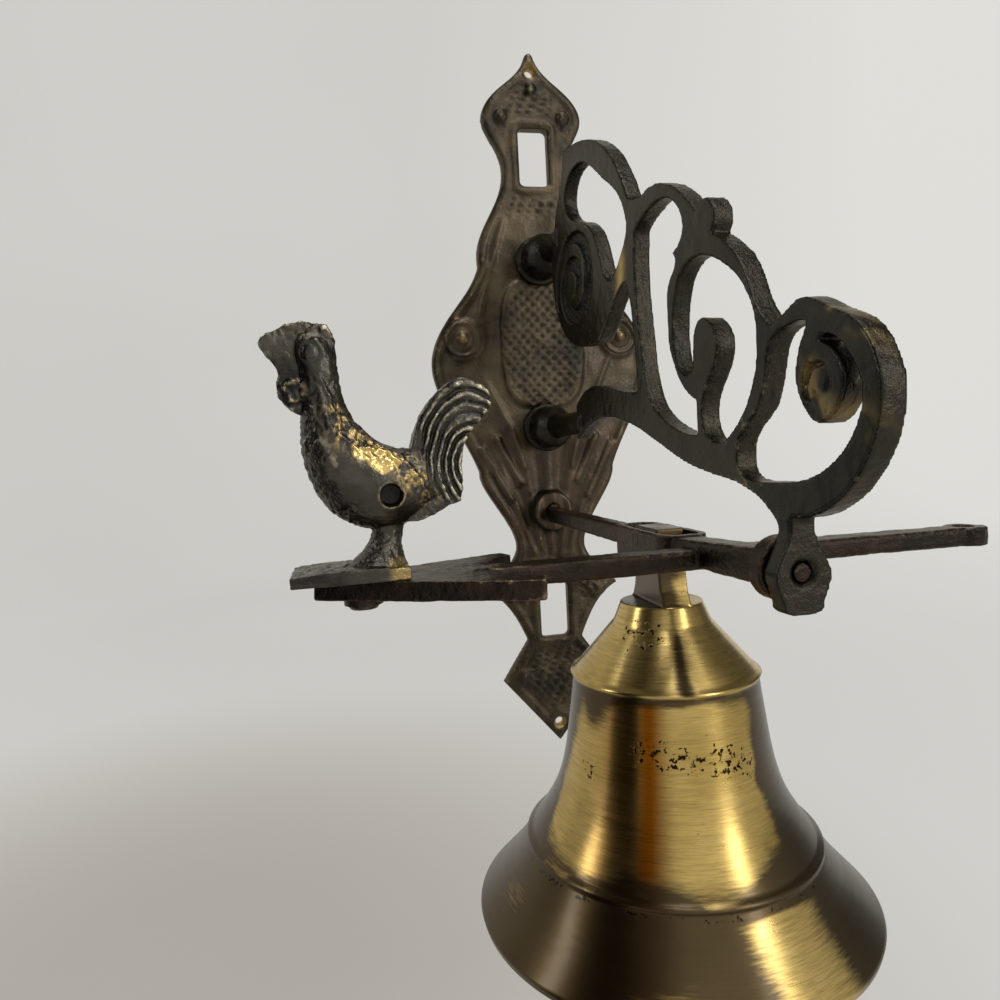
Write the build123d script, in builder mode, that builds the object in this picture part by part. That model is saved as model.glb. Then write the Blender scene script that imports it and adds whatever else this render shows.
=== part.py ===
from build123d import *
from math import cos, sin, radians
import os

os.makedirs("parts", exist_ok=True)

# Wall bell of cast brass: an ornamental wall plate, an openwork scroll bracket, a rocking shaft with an
# arrow lever and a rooster on it, and a bell hung in the shaft's eye.
# The wall is the plane Y = 0 and the bell stands out from it towards -Y. X = 0 is the middle plane, and
# the rocking shaft turns on the Y axis. A place told by "out" is its distance from the wall.

# Wall plate
plate_rise = 161.0
plate_drop = 86.0
plate_width = 80.0
plate_thick = 4.0
plate_edge = 1.1
slot_width = 10.6
slot_length = 19.8
slot_corner = 1.6
upper_slot_z = 125.2
lower_slot_z = -36.8
wall_hole = 3.2
wall_hole_sink = 5.0
upper_hole_z = 154.4
lower_hole_z = -79.0
shaft_boss = 15.0
shaft_boss_high = 5.0
panel_raise = 0.9
seat_gap = 0.2
ear_disc = 12.0
ear_disc_high = 1.2

# Scroll bracket
bracket_reach = 157.0
bracket_rise = 112.0
bracket_thick = 4.2
web_thick = 1.8
foot_flange = 17.0
foot_bulb = 15.0
foot_neck = 8.0
foot_screw = 4.0
foot_screw_depth = 11.0
lug_thick = 4.0
lug_width = 10.4
lug_drop = 7.2
lug_sink = 5.2

# Rocker
journal = 5.0
front_journal = 3.2
running_gap = 0.05
end_play = 0.3
arm_width = 5.0
arm_high = 5.0
arm_middle = -1.2
eye_out = 99.0
eye_slot_length = 29.0
eye_slot_width = 8.0
eye_wall = 2.0
eye_top = 2.2
eye_bottom = -5.2
disc_diameter = 11.6
disc_thick = 3.7
arrow_out = 123.0
arrow_depth = 7.0
arrow_high = 4.2
arrow_middle = -1.8
arrow_tip = 80.5
barb_x = 40.0
barb_spread = 38.0
head_thick = 3.7
arrow_tail = 68.0
tail_eye = 9.0
tail_hole = 4.0

# Rooster
rooster_scale = 1.0
rooster_x = -71.0
body_thick = 12.5
tail_thick = 5.0
comb_thick = 4.0
flaw_diameter = 4.3
foot_plate_width = 15.0
stud = 3.6
washer_diameter = 7.4
rivet_spread = 6.4
washer_thick = 1.2
rivet_high = 0.9

# Bell
collar_z = -15.2
collar_radius = 9.7
collar_spread = 1.9
shoulder_z = -31.8
shoulder_radius = 22.0
mouth_z = -89.0
mouth_radius = 47.5
bell_wall = 2.8
lip_wall = 3.6
tab_width = 7.0
tab_top_length = 13.0
tab_length = 18.6
tab_top = 2.6
bell_pin = 3.0

# Clapper
staple_wire = 2.0
staple_loop = 6.4
staple_stud = 3.0
hook_loop = 5.2
clapper_wire = 2.2
ball_diameter = 17.0
ball_z = -76.0

# The drawing plane of the bracket, seen from the -X side: its x is "out" and its y is up
side = Plane(origin=(0, 0, 0), x_dir=(0, -1, 0), z_dir=(-1, 0, 0))

lug_back = bracket_reach - lug_thick
disc_front = lug_back - end_play
disc_back = disc_front - disc_thick
boss_front = plate_thick + shaft_boss_high
head_bottom = arrow_middle - head_thick / 2
head_top = arrow_middle + head_thick / 2
crown_inside = collar_z - 4.6 - bell_wall
staple_z = crown_inside - staple_loop / 2 - staple_wire / 2 - end_play


def on_plate(*points):
    """Points drawn on the plate of the real bell, followed to the plate's rise, drop and width."""
    drawn_rise, drawn_drop, drawn_half = 161.0, 86.0, 40.0
    return [
        (x * plate_width / 2 / drawn_half, z * (plate_rise / drawn_rise if z > 0 else plate_drop / drawn_drop))
        for x, z in points
    ]


def on_bracket(*points):
    """Points drawn on the bracket of the real bell, followed to its reach and rise."""
    drawn_reach, drawn_rise = 157.0, 112.0
    return [(out * bracket_reach / drawn_reach, z * bracket_rise / drawn_rise) for out, z in points]


def on_rooster(*points):
    """Points drawn on the rooster, from the middle of its foot plate's underside."""
    return [(rooster_x + x * rooster_scale, head_top + z * rooster_scale) for x, z in points]


# where each foot runs into the scroll: its distance from the wall and its height
upper_foot, lower_foot = on_bracket((34, 89), (50, 30))
lug_top = on_bracket((157, 9.5))[0][1]
foot_heights = [(0, upper_foot[1]), (0, lower_foot[1])]

# Wall plate: one casting
with BuildPart() as wall_plate:
    with BuildSketch(Plane.XZ):
        with BuildLine():
            # tip, upper lobe and waist
            ThreePointArc(*on_plate((0, 161), (0.78, 160.79), (1.38, 160.2)))
            Spline(*on_plate((1.38, 160.2), (5.5, 153.6), (13.4, 147), (18, 138.5), (14.8, 130.6), (11.6, 122)))
            Spline(*on_plate((11.6, 122), (12.4, 114.5), (18.6, 102), (21.8, 87.5)))
            # ear
            Spline(*on_plate((21.8, 87.5), (25.5, 80), (33.5, 69.5), (40, 54.5), (37.5, 42), (25, 15)))
            # stem, lower lobe and lower waist
            Spline(*on_plate((25, 15), (15.4, -4.5), (13, -14.5), (17, -20.5), (24.8, -28.5)))
            Spline(*on_plate((24.8, -28.5), (19.5, -32), (13.4, -40.5), (10.2, -47.5)))
            # lower finial
            Spline(*on_plate((10.2, -47.5), (14, -53), (20, -62)))
            Line(*on_plate((20, -62), (0, -86)))
            mirror(about=Plane.YZ)
        make_face()
        with Locations((0, upper_slot_z), (0, lower_slot_z)):
            RectangleRounded(slot_width, slot_length, slot_corner, mode=Mode.SUBTRACT)
    extrude(amount=plate_thick)
    front_face = wall_plate.faces().sort_by(Axis.Y)[0]
    fillet(front_face.outer_wire().edges(), plate_edge)
    # raised middle panel
    with BuildSketch(Plane.XZ.offset(plate_thick)):
        with BuildLine():
            Spline(*on_plate((0, 83), (11.5, 79.5), (14.5, 60), (11.5, 41), (0, 38)))
            mirror(about=Plane.YZ)
        make_face()
    extrude(amount=panel_raise)
    # volute discs of the ears, the lower finial and the lower lobes, with their eyes
    for x, z, size in ((29, 62, 1), (12.8, -60.5, 0.5), (16.6, -29.2, 0.62)):
        (ear_x, ear_z), = on_plate((x, z))
        with BuildSketch(Plane.XZ):
            with Locations((ear_x, ear_z), (-ear_x, ear_z)):
                Circle(ear_disc / 2 * size)
        extrude(amount=plate_thick + ear_disc_high * size)
        with Locations((ear_x, -plate_thick, ear_z), (-ear_x, -plate_thick, ear_z)):
            Sphere(ear_disc / 4.3 * size)
    # domes on the upper lobes, and the bead below the upper hole
    (dome_x, dome_z), (bead_x, bead_z) = on_plate((11.2, 139), (0, 148.4))
    with Locations((dome_x, -plate_thick + 1, dome_z), (-dome_x, -plate_thick + 1, dome_z)):
        Sphere(plate_thick * 0.7)
    with Locations((bead_x, -plate_thick + 0.4, bead_z)):
        Sphere(plate_thick * 0.5)
    # flutes of the stem
    with BuildSketch(Plane.XZ.offset(plate_thick)):
        with BuildLine():
            Line(*on_plate((24.5, 24), (14.6, 4)))
            Line(*on_plate((18.5, 27), (10.6, 10)))
        trace(line_width=1.8)
        mirror(about=Plane.YZ)
    extrude(amount=panel_raise)
    # flat seats of the bracket's feet
    with BuildSketch(Plane.XZ.offset(plate_thick)):
        with Locations(*foot_heights):
            Circle(foot_flange / 2 + seat_gap)
    extrude(amount=panel_raise, mode=Mode.SUBTRACT)
    # boss of the shaft
    with BuildSketch(Plane.XZ.offset(plate_thick)):
        Circle(shaft_boss / 2)
    extrude(amount=shaft_boss_high, taper=8)
    with BuildSketch(Plane.XZ.offset(boss_front)):
        Circle(journal / 2 + running_gap)
    extrude(amount=-(boss_front - plate_thick * 0.6), mode=Mode.SUBTRACT)
    # countersunk holes for the wall screws
    with BuildSketch(Plane.XZ):
        with Locations((0, upper_hole_z), (0, lower_hole_z)):
            Circle(wall_hole / 2)
    extrude(amount=plate_thick * 2, mode=Mode.SUBTRACT)
    with BuildSketch(Plane.XZ.offset(plate_thick)):
        with Locations((0, upper_hole_z), (0, lower_hole_z)):
            Circle(wall_hole_sink / 2)
    extrude(amount=-(wall_hole_sink - wall_hole) / 2, taper=45, mode=Mode.SUBTRACT)
    # holes for the bracket's screws, countersunk in the back
    with BuildSketch(Plane.XZ):
        with Locations(*foot_heights):
            Circle(foot_screw / 2)
    extrude(amount=plate_thick * 2, mode=Mode.SUBTRACT)
    with BuildSketch(Plane.XZ):
        with Locations(*foot_heights):
            Circle(foot_screw)
    extrude(amount=foot_screw / 2, taper=45, mode=Mode.SUBTRACT)
wall_plate.part.label = "wall_plate"

# Screws from behind the plate into the bracket's feet
for name, (foot_out, screw_z) in (("upper_bracket_screw", upper_foot), ("lower_bracket_screw", lower_foot)):
    with BuildPart() as bracket_screw:
        with BuildSketch(Plane.XZ):
            with Locations((0, screw_z)):
                Circle(foot_screw)
        extrude(amount=foot_screw / 2, taper=45)
        with BuildSketch(Plane.XZ):
            with Locations((0, screw_z)):
                Circle(foot_screw / 2)
        extrude(amount=plate_thick + foot_screw_depth)
        # driver slot
        with Locations((0, 0, screw_z)):
            Box(foot_screw * 2, foot_screw / 4, foot_screw / 4, mode=Mode.SUBTRACT)
    bracket_screw.part.label = name
    export_step(bracket_screw.part, "parts/" + name + ".step")

# Scroll bracket: one casting
with BuildPart() as scroll_bracket:
    with BuildSketch(side) as scroll:
        with BuildLine():
            # arch, second loop, bud and third loop, seen from the plate outwards
            Spline(*on_bracket((43, 112), (56, 109.5), (70, 104.5), (81, 97), (88.5, 88.5), (92.5, 82)))
            Spline(*on_bracket((92.5, 82), (98, 80), (106, 80), (113.5, 78), (121, 73.5), (127, 68)))
            Spline(*on_bracket((127, 68), (130, 69.5), (133.5, 67.5), (133, 62)))
            Spline(*on_bracket((133, 62), (138, 59), (143, 54.3), (147, 47), (152, 41.4)))
            # outer loop and the lower rail
            Spline(*on_bracket((152, 41.4), (155.6, 42.6), (160.5, 44.2), (166.8, 41.8), (173, 38.8),
                               (178.4, 29), (175, 18.5), (168.2, 12.4), (157, 9.4)))
            Line(*on_bracket((157, 9.4), (153, 8)))
            Spline(*on_bracket((153, 8), (148, 11.6), (124, 17), (100, 24.5), (76, 30), (46, 25)))
            Line(*on_bracket((46, 25), (46, 35)))
            Spline(*on_bracket((46, 35), (64, 39.5), (82, 36.5), (94.5, 35.5)))
            # strut, polished diagonal, inner volute and the spine
            Spline(*on_bracket((94.5, 35.5), (93.6, 46), (92, 56), (89, 62.5), (78, 57.5), (64, 51.8)))
            Spline(*on_bracket((64, 51.8), (48, 53), (33.5, 61.5), (27, 76), (30.5, 91), (38, 101), (43, 112)))
        make_face()
        with BuildSketch(mode=Mode.SUBTRACT):
            with BuildLine():
                Spline(*on_bracket((49.5, 103), (60, 102.4), (76, 92.5), (87.5, 83.5), (91, 76), (86.5, 69.5),
                                   (77, 65.5), (72.5, 71), (68, 79.5), (58, 86.5), (47, 91), (43.2, 97)),
                       periodic=True)
            make_face()
        with BuildSketch(mode=Mode.SUBTRACT):
            with BuildLine():
                Spline(*on_bracket((96, 73), (106, 75.6), (118, 72.4), (121, 67), (116, 62.6)))
                Spline(*on_bracket((116, 62.6), (117.2, 60.8), (114, 57), (112.6, 51), (113, 44), (117.6, 35.6),
                                   (124.8, 30.8)))
                Line(*on_bracket((124.8, 30.8), (124.8, 23.8)))
                Spline(*on_bracket((124.8, 23.8), (113, 26), (101, 33.5), (97.2, 46), (95.2, 62), (96, 73)))
            make_face()
        with BuildSketch(mode=Mode.SUBTRACT):
            with BuildLine():
                # over and outside the curled knob
                Spline(*on_bracket((119, 57.4), (125.5, 59.4), (133.7, 57.2), (141.5, 52.2), (147.5, 43),
                                   (147, 34.5), (143.2, 28), (137.5, 23.4)))
                # up the stem and round the knob into the gap behind it
                Spline(*on_bracket((137.5, 23.4), (131, 22.4), (127.8, 24.4), (127.2, 30), (131, 35.2), (134, 40.4),
                                   (131.5, 45.2), (127, 46.9), (124.2, 43.4), (123.8, 38.6), (119.6, 36.4)))
                Spline(*on_bracket((119.6, 36.4), (116, 40), (115, 46.6), (116.2, 52.7), (119, 57.4)))
            make_face()
        # the space inside the outer loop, round its volute
        with BuildSketch(mode=Mode.SUBTRACT):
            with BuildLine():
                Spline(*on_bracket((162.2, 40.4), (156.5, 40.5), (152.2, 38.6), (150.6, 34.5), (147.2, 27.6),
                                   (140.6, 22), (140.6, 17), (148.9, 15), (160, 15.6), (169.3, 19.8), (174.4, 28.5),
                                   (171.6, 34.3), (167.6, 37.5), (163.9, 36.9)))
                Spline(*on_bracket((163.9, 36.9), (168.8, 34.6), (170.9, 30.4), (168.6, 26.2), (164.6, 24.4),
                                   (160.4, 27.6), (158.8, 32.6), (160.2, 37), (162.2, 40.4)))
            make_face()
    extrude(amount=bracket_thick / 2, both=True)
    # sunk webs of the two volutes, with a spiral left standing
    for (hub_out, hub_z), reach_out, reach_z, turn, ridge in (
        ((48, 71.5), 17.5, 14.5, -50, 3.6),
        ((165, 30.4), 4.4, 4.5, 120, 1.5),
    ):
        (hub,) = on_bracket((hub_out, hub_z))
        spiral_points = [
            on_bracket((
                hub_out + reach_out * (1 - step / 22) * cos(radians(turn - 30 * step)),
                hub_z + reach_z * (1 - step / 22) * sin(radians(turn - 30 * step)),
            ))[0]
            for step in range(0, 20)
        ]
        for sign in (1, -1):
            web_plane = side.offset(sign * bracket_thick / 2)
            with BuildSketch(web_plane):
                with Locations(hub):
                    Ellipse(*on_bracket((reach_out, reach_z))[0])
                with BuildLine():
                    Spline(*spiral_points)
                trace(line_width=ridge, mode=Mode.SUBTRACT)
                with Locations(hub):
                    Circle(ridge * 0.9, mode=Mode.SUBTRACT)
            extrude(amount=-sign * (bracket_thick - web_thick) / 2, mode=Mode.SUBTRACT)
    # feet on the plate: flange, lobed bulb and neck, each into the scroll
    for foot_out, foot_z in (upper_foot, lower_foot):
        with BuildSketch(side):
            with BuildLine():
                Polyline(
                    (plate_thick, foot_z),
                    (plate_thick, foot_z + foot_flange / 2),
                    (plate_thick + 1.6, foot_z + foot_flange / 2),
                    (plate_thick + 2.4, foot_z + foot_bulb / 2 - 0.6),
                )
                ThreePointArc(
                    (plate_thick + 2.4, foot_z + foot_bulb / 2 - 0.6),
                    (plate_thick + 8, foot_z + foot_bulb / 2),
                    (plate_thick + 15, foot_z + foot_neck / 2),
                )
                Polyline(
                    (plate_thick + 15, foot_z + foot_neck / 2),
                    (foot_out, foot_z + foot_neck / 2 - 0.8),
                    (foot_out, foot_z),
                    (plate_thick, foot_z),
                )
            make_face()
        revolve(axis=Axis((0, 0, foot_z), (0, -1, 0)))
        # furrows of the bulb
        with BuildSketch(Plane.XZ.offset(plate_thick + 15)):
            with Locations((0, foot_z)):
                with PolarLocations(foot_bulb / 2 + 0.6, 8):
                    Circle(1.5)
        extrude(amount=-12, mode=Mode.SUBTRACT)
        with BuildSketch(Plane.XZ.offset(plate_thick)):
            with Locations((0, foot_z)):
                Circle(foot_screw / 2)
        extrude(amount=foot_screw_depth, mode=Mode.SUBTRACT)
    # lug for the shaft's front journal, with its neck up to the scroll
    with BuildSketch(Plane.XZ.offset(lug_back)):
        with BuildLine():
            Spline(
                (bracket_thick / 2 + 0.3, lug_top),
                (bracket_thick / 2 + 0.3, lug_top - 3),
                (lug_width / 2 - 1, lug_width / 4),
                (lug_width / 2, -1),
                (lug_width / 2 - 1.3, -lug_drop + 2.4),
                (0, -lug_drop),
                tangents=((0, -1), (-1, 0)),
            )
            Line((0, lug_top), (bracket_thick / 2 + 0.3, lug_top))
            mirror(about=Plane.YZ)
        make_face()
    extrude(amount=lug_thick)
    with BuildSketch(Plane.XZ.offset(lug_back)):
        Circle(front_journal / 2 + running_gap)
    extrude(amount=lug_thick, mode=Mode.SUBTRACT)
    with BuildSketch(Plane.XZ.offset(bracket_reach)):
        Circle(lug_sink / 2)
    extrude(amount=-(lug_sink - front_journal) / 2 + 0.05, taper=40, mode=Mode.SUBTRACT)
scroll_bracket.part.label = "scroll_bracket"

# Rocker: one casting, the shaft with its eye and the arrow lever
with BuildPart() as rocker:
    # rear journal and arm
    with BuildSketch(Plane.XZ.offset(plate_thick)):
        Circle(journal / 2)
    extrude(amount=boss_front + end_play - plate_thick)
    with BuildSketch(Plane.XZ.offset(boss_front + end_play)):
        with Locations((0, arm_middle)):
            RectangleRounded(arm_width, arm_high, 0.8)
    extrude(amount=eye_out - eye_slot_length / 2 - eye_wall / 2 - boss_front - end_play)
    # front arm, thickening into the shoulder disc
    with BuildSketch(Plane.XZ.offset(eye_out + eye_slot_length / 2 + eye_wall / 2)):
        with Locations((0, arm_middle)):
            RectangleRounded(arm_width + 2.6, arm_high + 0.8, 1)
    with BuildSketch(Plane.XZ.offset(disc_back)):
        RectangleRounded(arm_width + 1, arm_high + 1.6, 1)
    loft()
    with BuildSketch(Plane.XZ.offset(disc_back)):
        Circle(disc_diameter / 2)
    extrude(amount=disc_thick)
    # front journal, riveted over in the lug's countersink
    with BuildSketch(Plane.XZ.offset(disc_front)):
        Circle(front_journal / 2)
    extrude(amount=lug_thick + end_play - 0.4)
    # eye that holds the bell's tab
    with BuildSketch(Plane.XY.offset(eye_bottom)):
        with Locations((0, -eye_out)):
            RectangleRounded(eye_slot_width + 2 * eye_wall, eye_slot_length + 2 * eye_wall, 5.2)
    extrude(amount=eye_top - eye_bottom)
    with BuildSketch(Plane.XY.offset(eye_bottom)):
        with Locations((0, -eye_out)):
            RectangleRounded(eye_slot_width, eye_slot_length, 3.4)
    extrude(amount=eye_top - eye_bottom, mode=Mode.SUBTRACT)
    with BuildSketch(Plane.YZ.offset(-eye_slot_width / 2 - eye_wall)):
        with Locations((-eye_out, 0)):
            Circle(bell_pin / 2)
    extrude(amount=eye_slot_width + 2 * eye_wall, mode=Mode.SUBTRACT)
    # arrow lever: head with its barbs, shaft and tail
    with BuildSketch(Plane.XY.offset(head_bottom)):
        with BuildLine():
            Spline(
                (-arrow_tip, -arrow_out),
                (-arrow_tip + 9, -arrow_out + barb_spread * 0.12),
                (-barb_x - 16, -arrow_out + barb_spread * 0.33),
                (-barb_x, -arrow_out + barb_spread / 2),
            )
            Line((-barb_x, -arrow_out + barb_spread / 2), (-barb_x + 1.2, -arrow_out + barb_spread / 2 - 4.4))
            ThreePointArc(
                (-barb_x + 1.2, -arrow_out + barb_spread / 2 - 4.4),
                (-barb_x - 6, -arrow_out + barb_spread * 0.18),
                (-barb_x - 8, -arrow_out),
            )
            Line((-barb_x - 8, -arrow_out), (-arrow_tip, -arrow_out))
        make_face()
        mirror(about=Plane.XZ.offset(arrow_out))
    extrude(amount=head_thick)
    with BuildSketch(Plane.YZ.offset(-barb_x - 10)):
        with Locations((-arrow_out, arrow_middle)):
            RectangleRounded(arrow_depth, arrow_high, 1.0)
    extrude(amount=barb_x + 10 + arrow_tail - tail_eye / 2)
    with BuildSketch(Plane.XY.offset(arrow_middle - arrow_high / 2)):
        with Locations((arrow_tail - tail_eye / 2, -arrow_out)):
            Circle(tail_eye / 2)
    extrude(amount=arrow_high)
    with BuildSketch(Plane.XY.offset(arrow_middle - arrow_high / 2)):
        with Locations((arrow_tail - tail_eye / 2, -arrow_out)):
            Circle(tail_hole / 2)
        with Locations((rooster_x, -arrow_out)):
            Circle(stud / 2)
    extrude(amount=arrow_high, mode=Mode.SUBTRACT)
rocker.part.label = "rocker"

# Rooster: one casting with its foot plate and rivet stud
with BuildPart() as rooster:
    # body, breast, neck and head as one run of ovals
    for out, z, angle, long_half, thick_half in (
        (16.3, 15.9, 80, 3.2, 0.22),
        (10.3, 17.1, 82, 7.0, 0.4),
        (2.6, 17.6, 74, 8.2, 0.5),
        (-3.2, 23.2, 45, 7.0, 0.46),
        (-5.2, 31.5, 12, 4.3, 0.34),
        (-5.8, 38.5, 4, 3.8, 0.28),
        (-6.3, 43.0, -2, 4.0, 0.27),
        (-6.5, 46.6, -4, 2.2, 0.12),
    ):
        (oval_x, oval_z), = on_rooster((out, z))
        run_x, run_z = -cos(radians(90 - angle)), sin(radians(90 - angle))
        oval_at = (oval_x, -arrow_out, oval_z)
        with BuildSketch(Plane(origin=oval_at, x_dir=(-run_z, 0, run_x), z_dir=(run_x, 0, run_z))):
            Ellipse(long_half * rooster_scale, body_thick * thick_half)
    loft()
    # sickle feathers of the tail
    with BuildSketch(Plane.XZ.offset(arrow_out)):
        with BuildLine():
            Spline(*on_rooster((10.7, 24.8), (12.7, 30.2), (16.2, 34.5), (21.8, 36.8), (26.2, 32.6), (23.1, 27.9),
                               (20.5, 24.1), (19.9, 19), (19.3, 13.5)))
            Spline(*on_rooster((19.3, 13.5), (16, 12.4), (10.4, 10.2), (7, 13)))
            Line(*on_rooster((7, 13), (10.7, 24.8)))
        make_face()
    extrude(amount=tail_thick / 2, both=True)
    # comb and beak, and wattles
    with BuildSketch(Plane.XZ.offset(arrow_out)):
        with BuildLine():
            Spline(*on_rooster((-2.4, 44.4), (-4.4, 47.3), (-8, 47.9), (-12.6, 46.7), (-15.7, 44.2), (-14, 41.3),
                               (-12.7, 38.2)))
            Spline(*on_rooster((-12.7, 38.2), (-12.8, 34.6), (-10.6, 31.8), (-8, 30.6)))
            Line(*on_rooster((-8, 30.6), (-4, 36)))
            Line(*on_rooster((-4, 36), (-2.4, 44.4)))
        make_face()
    extrude(amount=comb_thick / 2, both=True)
    # leg post
    for x, z, long_half, thick_half in ((1.4, 1.4, 7.4, 6.4), (3.6, 3.9, 4.6, 4.4), (5.0, 7.4, 3.0, 2.7),
                                        (5.6, 12.4, 4.6, 4.0)):
        with BuildSketch(Plane.XY.offset(head_top + z * rooster_scale)):
            with Locations((rooster_x + x * rooster_scale, -arrow_out)):
                Ellipse(long_half * rooster_scale, thick_half * rooster_scale)
    loft()
    # foot plate, sloping up to the post
    with BuildSketch(Plane.XZ.offset(arrow_out)):
        with BuildLine():
            Polyline(*on_rooster((-12.8, 0), (-12.8, 1.9), (-7, 2.5), (2, 2.6), (8.7, 2.2), (8.7, 0),
                                 (-12.8, 0)))
        make_face()
    extrude(amount=foot_plate_width / 2, both=True)
    fillet(rooster.edges().filter_by(Axis.Y).sort_by(Axis.Z)[:1], 0.4)
    # rivet stud through the arrowhead and its spread end
    with BuildSketch(Plane.XY.offset(head_top)):
        with Locations((rooster_x, -arrow_out)):
            Circle(stud / 2)
    extrude(amount=-head_thick - washer_thick)
    with BuildSketch(Plane.XY.offset(head_bottom - washer_thick)):
        with Locations((rooster_x, -arrow_out)):
            Circle(rivet_spread / 2)
    extrude(amount=-rivet_high, taper=35)
    # the casting flaw in its near side, a blind hole
    (flaw,) = on_rooster((6.1, 15.6))
    with BuildSketch(Plane.XZ.offset(arrow_out + body_thick / 2)):
        with Locations(flaw):
            Circle(flaw_diameter / 2)
    extrude(amount=-body_thick / 2.2, mode=Mode.SUBTRACT)
rooster.part.label = "rooster"

with BuildPart() as rooster_washer:
    with BuildSketch(Plane.XY.offset(head_bottom)):
        with Locations((rooster_x, -arrow_out)):
            Circle(washer_diameter / 2)
            Circle(stud / 2, mode=Mode.SUBTRACT)
    extrude(amount=-washer_thick)
rooster_washer.part.label = "rooster_washer"

# Bell: one casting, turned inside and out, with its flat tab
with BuildPart() as bell:
    with BuildSketch(side):
        with BuildLine():
            Polyline(
                (eye_out, collar_z),
                (eye_out + collar_radius, collar_z),
                (eye_out + collar_radius + collar_spread, collar_z - 4.6),
                (eye_out + shoulder_radius - 0.6, shoulder_z + 0.8),
                (eye_out + shoulder_radius + 0.6, shoulder_z),
                (eye_out + shoulder_radius, shoulder_z - 1.2),
            )
            Spline(
                (eye_out + shoulder_radius, shoulder_z - 1.2),
                (eye_out + shoulder_radius + 1.9, shoulder_z - 15),
                (eye_out + shoulder_radius + 5.6, shoulder_z - 29),
                (eye_out + mouth_radius - 13.3, mouth_z + 17.6),
                (eye_out + mouth_radius - 8.6, mouth_z + 11),
                (eye_out + mouth_radius - 3.2, mouth_z + 5),
                (eye_out + mouth_radius, mouth_z + 1.6),
            )
            Polyline(
                (eye_out + mouth_radius, mouth_z + 1.6),
                (eye_out + mouth_radius - 0.4, mouth_z),
                (eye_out + mouth_radius - lip_wall, mouth_z),
            )
            Spline(
                (eye_out + mouth_radius - lip_wall, mouth_z),
                (eye_out + mouth_radius - 5.4 - lip_wall, mouth_z + 6.4),
                (eye_out + mouth_radius - 13.3 - bell_wall, mouth_z + 17),
                (eye_out + shoulder_radius + 5.6 - bell_wall, shoulder_z - 29),
                (eye_out + shoulder_radius + 1.9 - bell_wall, shoulder_z - 15),
                (eye_out + shoulder_radius - bell_wall, shoulder_z - 3),
            )
            Polyline(
                (eye_out + shoulder_radius - bell_wall, shoulder_z - 3),
                (eye_out + collar_radius, collar_z - 4.6 - bell_wall),
                (eye_out, collar_z - 4.6 - bell_wall),
                (eye_out, collar_z),
            )
        make_face()
        # bead round the flare
        with Locations((eye_out + mouth_radius - 13.1, mouth_z + 17.2)):
            Circle(0.8)
    revolve(axis=Axis((0, -eye_out, 0), (0, 0, 1)))
    # tab, wider at its foot
    with BuildSketch(Plane.YZ.offset(-tab_width / 2)):
        with BuildLine():
            Polyline(
                (-eye_out - tab_top_length / 2, tab_top),
                (-eye_out + tab_top_length / 2, tab_top),
                (-eye_out + tab_top_length / 2 + 0.4, collar_z + 8),
                (-eye_out + tab_length / 2 - 1.7, collar_z + 3.4),
                (-eye_out + tab_length / 2, collar_z),
                (-eye_out + tab_length / 2, collar_z - 1),
                (-eye_out - tab_length / 2, collar_z - 1),
                (-eye_out - tab_length / 2, collar_z),
                (-eye_out - tab_length / 2 + 1.7, collar_z + 3.4),
                (-eye_out - tab_top_length / 2 - 0.4, collar_z + 8),
                (-eye_out - tab_top_length / 2, tab_top),
            )
        make_face()
        with Locations((-eye_out, 0)):
            Circle(bell_pin / 2 + running_gap, mode=Mode.SUBTRACT)
    extrude(amount=tab_width)
    # hole for the staple's stud
    with BuildSketch(Plane.XY.offset(collar_z - 4.6 - bell_wall)):
        with Locations((0, -eye_out)):
            Circle(staple_stud / 2)
    extrude(amount=bell_wall + 2, mode=Mode.SUBTRACT)
bell.part.label = "bell"

with BuildPart() as pin:
    with BuildSketch(Plane.YZ.offset(-eye_slot_width / 2 - eye_wall)):
        with Locations((-eye_out, 0)):
            Circle(bell_pin / 2)
    extrude(amount=eye_slot_width + 2 * eye_wall)
pin.part.label = "bell_pin"

# Clapper: a staple in the crown, a hooked wire and its ball
with BuildPart() as clapper_staple:
    with BuildSketch(Plane.XY.offset(staple_z + staple_loop / 2 - 0.4)):
        with Locations((0, -eye_out)):
            Circle(staple_stud / 2)
    extrude(amount=crown_inside + bell_wall + 1.6 - (staple_z + staple_loop / 2 - 0.4))
    with Locations(Location((0, -eye_out, staple_z), (0, 90, 0))):
        Torus(staple_loop / 2, staple_wire / 2)
clapper_staple.part.label = "clapper_staple"

staple_bottom = staple_z - staple_loop / 2
hook_z = staple_bottom - (hook_loop / 2 - clapper_wire / 2 - staple_wire / 2) + 0.1
with BuildPart() as clapper_rod:
    with Locations(Location((0, -eye_out, hook_z), (90, 0, 0))):
        Torus(hook_loop / 2, clapper_wire / 2)
    with BuildSketch(Plane.XY.offset(hook_z - hook_loop / 2)):
        with Locations((0, -eye_out)):
            Circle(clapper_wire / 2)
    extrude(amount=ball_z - hook_z + hook_loop / 2)
clapper_rod.part.label = "clapper_rod"

with BuildPart() as clapper_ball:
    with Locations((0, -eye_out, ball_z)):
        Sphere(ball_diameter / 2)
    with BuildSketch(Plane.XY.offset(ball_z)):
        with Locations((0, -eye_out)):
            Circle(clapper_wire / 2)
    extrude(amount=ball_diameter, mode=Mode.SUBTRACT)
clapper_ball.part.label = "clapper_ball"

for piece in (wall_plate, scroll_bracket, rocker, rooster, rooster_washer, bell, pin, clapper_staple,
              clapper_rod, clapper_ball):
    export_step(piece.part, "parts/" + piece.part.label + ".step")
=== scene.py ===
# The wall bell's looks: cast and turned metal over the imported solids, on a pale stage in soft light.
# Relief is worked out in millimetres in the part's own frame; Blender's own lengths are metres.
import math

import bmesh
import bpy
import numpy as np
from mathutils import Matrix, Vector
from mathutils.bvhtree import BVHTree


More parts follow.
